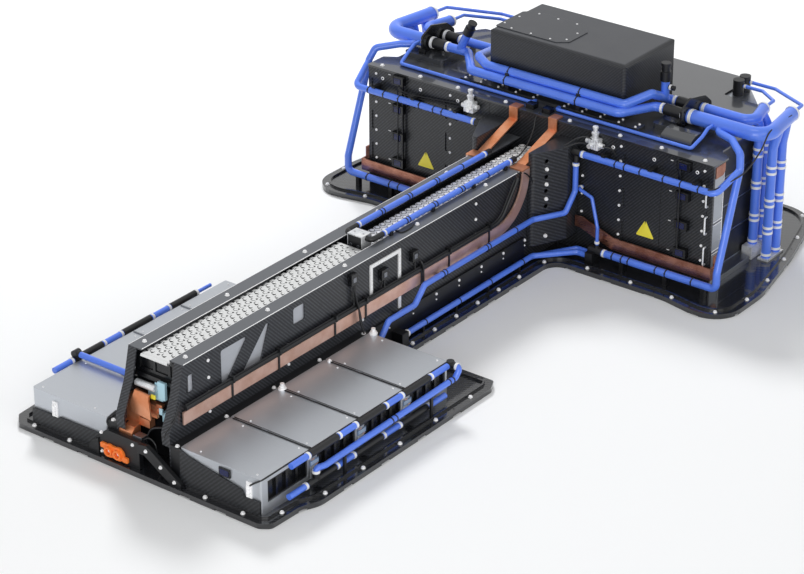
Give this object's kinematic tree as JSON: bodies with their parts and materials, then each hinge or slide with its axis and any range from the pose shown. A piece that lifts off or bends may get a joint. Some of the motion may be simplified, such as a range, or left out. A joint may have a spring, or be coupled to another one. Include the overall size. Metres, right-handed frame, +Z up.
{
  "type": "electric vehicle battery pack",
  "caption": "T-shaped underfloor traction battery with flat front modules, a central cell tunnel, a stacked rear block, copper bars and blue coolant hoses.",
  "frame": {"origin": "centre of the tray's footprint on its underside", "axes": "+X towards the pack's right side seen from the high-voltage connector, +Y towards the stacked rear block, +Z up"},
  "size_m": [1.412, 2.24, 0.5505],
  "materials": {
    "carbon": "clear-coated woven carbon composite, satin gloss",
    "black_plastic": "moulded, fine matte texture",
    "bulkhead_black": "satin black coating",
    "steel": "zinc plated",
    "case_aluminium": "brushed sheet",
    "stack_aluminium": "satin extrusion",
    "plate_aluminium": "perforated satin sheet",
    "cell_can": "nickel-bright can tops",
    "hose_blue": "semi-gloss moulded hose",
    "copper": "bare copper bar, satin",
    "clamp_white": "moulded clamp ring",
    "connector_orange": "high-voltage orange housing",
    "insulator": "pale translucent insulator",
    "tag": "small printed sensor plate, bare"
  },
  "bodies": {
    "root": {"tray": "carbon", "tray_bolts": "steel", "front_fairings": "carbon", "front_case_r1": "case_aluminium", "front_case_r2": "case_aluminium", "front_case_r3": "case_aluminium", "front_case_r4": "case_aluminium", "front_case_l1": "case_aluminium", "front_case_l2": "case_aluminium", "front_case_l3": "case_aluminium", "front_case_l4": "case_aluminium", "front_holders": "black_plastic", "seam_straps": "bulkhead_black", "module_latches": "steel", "front_rails": "black_plastic", "front_hoses": "hose_blue", "cell_tags": "tag", "tunnel_side_r": "carbon", "tunnel_side_l": "carbon", "tunnel_liners": "plate_aluminium", "spine_rails": "black_plastic", "tunnel_bolts": "steel", "vent_plate": "plate_aluminium", "cell_spine": "black_plastic", "vent_cells": "cell_can", "junction_block": "plate_aluminium", "tunnel_hoses": "hose_blue", "end_bracket": "black_plastic", "end_insulators": "insulator", "front_busbars": "copper", "hv_bracket": "black_plastic", "hv_connector": "connector_orange", "side_busbars": "copper", "clips": "black_plastic", "side_cables": "black_plastic", "side_frame": "steel", "connectors": "black_plastic", "gussets": "carbon", "rear_panel_r": "carbon", "rear_panel_l": "carbon", "rear_bulkhead": "black_plastic", "screws": "steel", "service_fittings": "steel", "rear_busbars": "copper", "top_straps": "copper", "rear_base": "stack_aluminium", "rear_layer_1": "stack_aluminium", "rear_layer_2": "stack_aluminium", "rear_layer_3": "stack_aluminium", "rear_layer_4": "stack_aluminium", "cover": "carbon", "top_box": "carbon", "main_hoses": "hose_blue", "fittings": "black_plastic", "bulkheads": "bulkhead_black", "header_r": "hose_blue", "header_l": "hose_blue", "risers": "hose_blue", "side_hoses": "hose_blue", "clamps": "clamp_white"}
  },
  "joints": []
}
